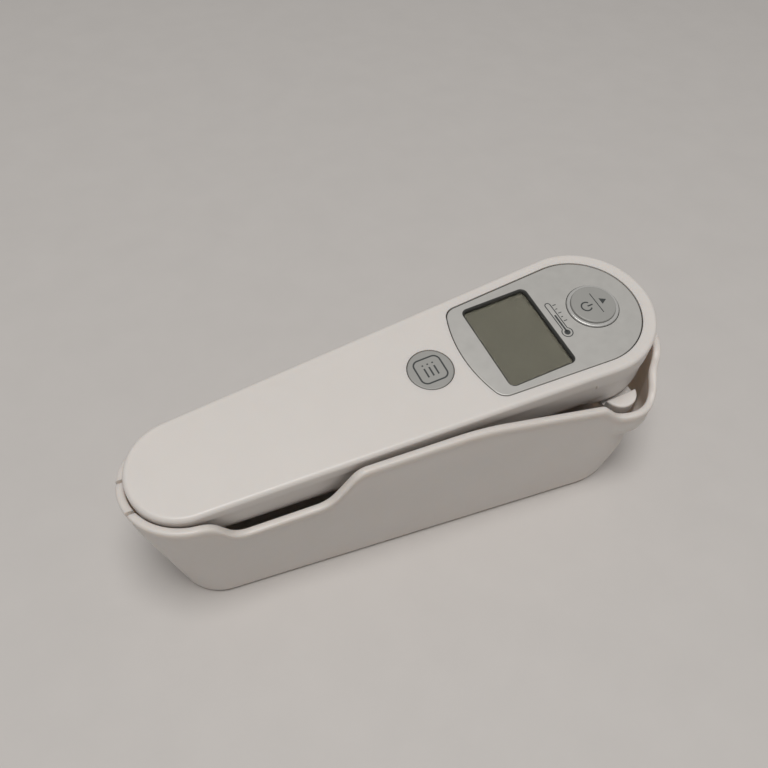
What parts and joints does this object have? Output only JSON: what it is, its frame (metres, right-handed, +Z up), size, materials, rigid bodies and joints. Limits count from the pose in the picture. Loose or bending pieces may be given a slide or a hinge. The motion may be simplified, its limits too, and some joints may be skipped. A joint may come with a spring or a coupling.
{
  "type": "digital thermometer",
  "caption": "Infrared ear thermometer with display, keys, probe and cover ejector, lying in its open boat-shaped storage case.",
  "frame": {"origin": "centre of the whole object's base, on the surface that the storage case stands on", "axes": "+X along the case from the tail end of the handset to its head, +Z up, +Y to the left of +X"},
  "size_m": [0.1437, 0.0496, 0.0515],
  "materials": {
    "case_white": "satin moulded",
    "shell_white": "satin moulded",
    "panel_silver": "satin silver paint",
    "button_silver": "silver painted plastic",
    "button_grey": "satin grey",
    "clear_window": "clear",
    "lcd_glass": "olive grey, blank",
    "holder_white": "moulded",
    "holder_black": "moulded",
    "connector_rubber": "striped elastomer",
    "switch_black": "moulded",
    "board_green": "solder mask",
    "chip_black": "moulded",
    "cell_steel": "stamped",
    "contact_spring": "plated spring strip",
    "screw_steel": "zinc plated",
    "spring_steel": "drawn wire",
    "waveguide_gold": "polished bore",
    "probe_lens": "polished filter",
    "sensor_can": "nickel plated",
    "ribbon_amber": "polyimide film"
  },
  "bodies": {
    "case": {"storage_case": "case_white"},
    "handset": {"front_shell": "shell_white", "back_shell": "shell_white", "casing_screws": "screw_steel", "face_panel": "panel_silver", "lcd_window": "clear_window", "lcd_module": "lcd_glass", "lcd_holder": "holder_white", "lcd_connectors": "connector_rubber", "start_switch": "switch_black", "memory_switch": "switch_black", "circuit_board": "board_green", "processor_chip": "chip_black", "board_components": "chip_black", "buzzer": "chip_black", "coin_cell": "cell_steel", "battery_contact_negative": "contact_spring", "battery_contact_positive": "contact_spring", "probe_nozzle": "shell_white", "waveguide": "waveguide_gold", "probe_window": "probe_lens", "infrared_sensor": "sensor_can", "sensor_holder": "holder_black", "sensor_ribbon": "ribbon_amber", "ribbon_socket": "holder_black"},
    "start_key": {"start_button": "button_silver", "start_button_cap": "button_grey"},
    "memory_key": {"memory_button": "button_grey"},
    "ejector": {"ejector_ring": "shell_white", "ejector_clips": "screw_steel", "ejector_springs": "spring_steel"},
    "battery_cover": {"battery_cover": "shell_white"}
  },
  "joints": [
    {"name": "handset_lift", "type": "slide", "parent": "case", "child": "handset", "axis": [0, 0, 1], "range_m": [0, 0.07]},
    {"name": "start_press", "type": "slide", "parent": "handset", "child": "start_key", "axis": [0.0689, 0.1564, -0.9853], "range_m": [0, 0.0005], "stiffness_N_per_m": 900, "springref_m": -0.0006},
    {"name": "memory_press", "type": "slide", "parent": "handset", "child": "memory_key", "axis": [0.0689, 0.1564, -0.9853], "range_m": [0, 0.0004], "stiffness_N_per_m": 900, "springref_m": -0.0006},
    {"name": "ejector_slide", "type": "slide", "parent": "handset", "child": "ejector", "axis": [0.0689, 0.1564, -0.9853], "range_m": [0, 0.003], "stiffness_N_per_m": 250, "springref_m": -0.001, "deforming": ["ejector_springs"]},
    {"name": "battery_cover_turn", "type": "hinge", "parent": "handset", "child": "battery_cover", "pos_m": [-0.04095, 0.00098, 0.03204], "axis": [0.0689, 0.1564, -0.9853], "range_deg": [0, 60]}
  ]
}
